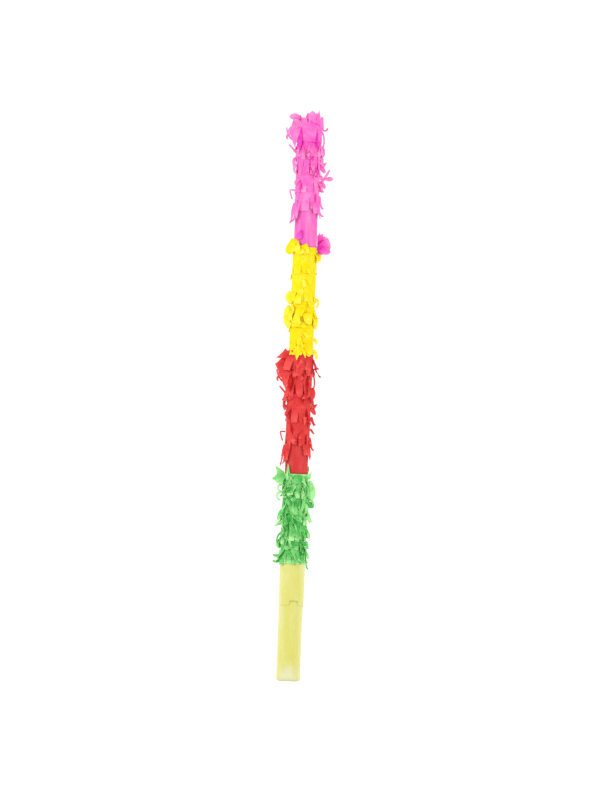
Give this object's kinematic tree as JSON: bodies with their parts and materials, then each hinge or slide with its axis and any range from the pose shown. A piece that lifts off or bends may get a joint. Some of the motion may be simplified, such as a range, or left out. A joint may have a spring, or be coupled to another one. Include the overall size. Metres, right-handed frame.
{
  "type": "tissue-fringed party stick",
  "caption": "Straight round wooden stick rolled in tissue paper, with bands of slit fringe above a smooth paper handle.",
  "frame": {"origin": "middle of the grip, on the stick's axis", "axes": "+Z along the stick from the butt to the tip; the front is -Y"},
  "size_m": [0.0438, 0.0244, 0.507],
  "materials": {
    "dowel_wood": "matte",
    "handle_tissue": "matte",
    "green_tissue": "matte",
    "red_tissue": "matte",
    "yellow_tissue": "matte",
    "pink_tissue": "matte"
  },
  "bodies": {
    "root": {"core_dowel": "dowel_wood", "handle_paper": "handle_tissue", "handle_outer_turn": "handle_tissue", "green_base_paper": "green_tissue", "red_base_paper": "red_tissue", "yellow_base_paper": "yellow_tissue", "pink_base_paper": "pink_tissue", "green_fringe_1": "green_tissue", "green_fringe_2": "green_tissue", "green_fringe_3": "green_tissue", "green_fringe_4": "green_tissue", "red_fringe_1": "red_tissue", "red_fringe_2": "red_tissue", "red_fringe_3": "red_tissue", "red_fringe_4": "red_tissue", "yellow_fringe_1": "yellow_tissue", "yellow_fringe_2": "yellow_tissue", "yellow_fringe_3": "yellow_tissue", "yellow_fringe_4": "yellow_tissue", "pink_fringe_1": "pink_tissue", "pink_fringe_2": "pink_tissue", "pink_fringe_3": "pink_tissue", "pink_fringe_4": "pink_tissue", "pink_crown_fringe": "pink_tissue", "green_end_tuft": "green_tissue", "red_end_tuft": "red_tissue", "yellow_end_tuft": "yellow_tissue", "pink_end_tuft": "pink_tissue"}
  },
  "joints": []
}
